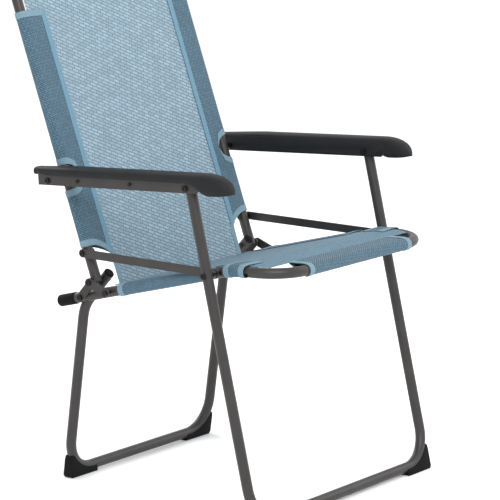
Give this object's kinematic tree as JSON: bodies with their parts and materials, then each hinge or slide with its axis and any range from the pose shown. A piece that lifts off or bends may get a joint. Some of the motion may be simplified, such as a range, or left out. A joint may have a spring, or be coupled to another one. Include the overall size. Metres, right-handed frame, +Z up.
{
  "type": "folding camp chair",
  "caption": "Folding camp chair of bent steel tube with moulded armrests and a fabric seat and back; the frame folds flat on side links and hinge plates.",
  "frame": {"origin": "on the floor, at the middle of the chair's outer box", "axes": "+Z up, -Y the way a sitter faces, X across the chair"},
  "size_m": [0.573, 0.6428, 0.9642],
  "materials": {
    "frame": "satin charcoal powder coat",
    "fastener": "black-plated steel",
    "armrest": "finely textured moulded plastic",
    "cap": "moulded plastic",
    "foot": "matt moulded rubber",
    "sling": "coarse woven polyester"
  },
  "bodies": {
    "front_leg": {"front_leg_frame": "frame", "front_foot_left": "foot", "front_foot_right": "foot", "front_leg_plug_left": "cap", "front_leg_plug_right": "cap", "seat_pivot_bolt_left": "fastener", "seat_pivot_bolt_right": "fastener", "seat_pivot_spacer_left": "fastener", "seat_pivot_spacer_right": "fastener", "arm_front_bolt_left": "fastener", "arm_front_bolt_right": "fastener"},
    "side_links": {"link_bar_left": "frame", "link_bar_right": "frame", "link_bar_bolt_left": "fastener", "link_bar_bolt_right": "fastener", "link_bar_washer_left": "fastener", "link_bar_washer_right": "fastener", "seat_pivot_washer_left": "fastener", "seat_pivot_washer_right": "fastener"},
    "back": {"back_frame": "frame", "back_end_plug_left": "cap", "back_end_plug_right": "cap", "arm_rear_bush_left": "fastener", "arm_rear_bush_right": "fastener", "back_fabric": "sling"},
    "armrests": {"armrest_channel_left": "frame", "armrest_channel_right": "frame", "armrest_pad_left": "armrest", "armrest_pad_right": "armrest", "armrest_rear_screw_left": "fastener", "armrest_rear_screw_right": "fastener", "armrest_middle_screw_left": "fastener", "armrest_middle_screw_right": "fastener", "arm_rear_bolt_left": "fastener", "arm_rear_bolt_right": "fastener"},
    "seat": {"seat_frame": "frame", "seat_end_cap_left": "cap", "seat_end_cap_right": "cap", "seat_stud_left": "fastener", "seat_stud_right": "fastener", "seat_fabric": "sling", "rear_hinge_bolt_left": "fastener", "rear_hinge_bolt_right": "fastener"},
    "rear_leg": {"rear_leg_frame": "frame", "rear_foot_left": "foot", "rear_foot_right": "foot", "rear_leg_cap_left": "cap", "rear_leg_cap_right": "cap", "hinge_plate_left": "frame", "hinge_plate_right": "frame", "stop_hook_left": "frame", "stop_hook_right": "frame", "top_hinge_spacer_left": "fastener", "top_hinge_spacer_right": "fastener", "top_hinge_inner_bolt_left": "fastener", "top_hinge_inner_bolt_right": "fastener", "top_hinge_outer_bolt_left": "fastener", "top_hinge_outer_bolt_right": "fastener"}
  },
  "joints": [
    {"name": "fold", "type": "hinge", "parent": "front_leg", "child": "side_links", "pos_m": [0, -0.18221, 0.437], "axis": [-1, 0, 0], "range_deg": [0, 95]},
    {"name": "back_hinge", "type": "hinge", "parent": "side_links", "child": "back", "pos_m": [0, 0.11929, 0.437], "axis": [-1, 0, 0], "range_deg": [-103.6, 0]},
    {"name": "armrest_hinge", "type": "hinge", "parent": "front_leg", "child": "armrests", "pos_m": [0, -0.14645, 0.586], "axis": [-1, 0, 0], "range_deg": [0, 93.6]},
    {"name": "seat_hinge", "type": "hinge", "parent": "front_leg", "child": "seat", "pos_m": [0, -0.18221, 0.437], "axis": [-1, 0, 0], "range_deg": [0, 90]},
    {"name": "rear_leg_hinge", "type": "hinge", "parent": "seat", "child": "rear_leg", "pos_m": [0, 0.12879, 0.35449], "axis": [-1, 0, 0], "range_deg": [0, 109]}
  ],
  "couplings": [
    {"joint": "back_hinge", "follows": "fold", "ratio": -1.0775},
    {"joint": "armrest_hinge", "follows": "fold", "ratio": 0.972},
    {"joint": "seat_hinge", "follows": "fold", "ratio": 0.93},
    {"joint": "rear_leg_hinge", "follows": "fold", "ratio": 1.13}
  ]
}
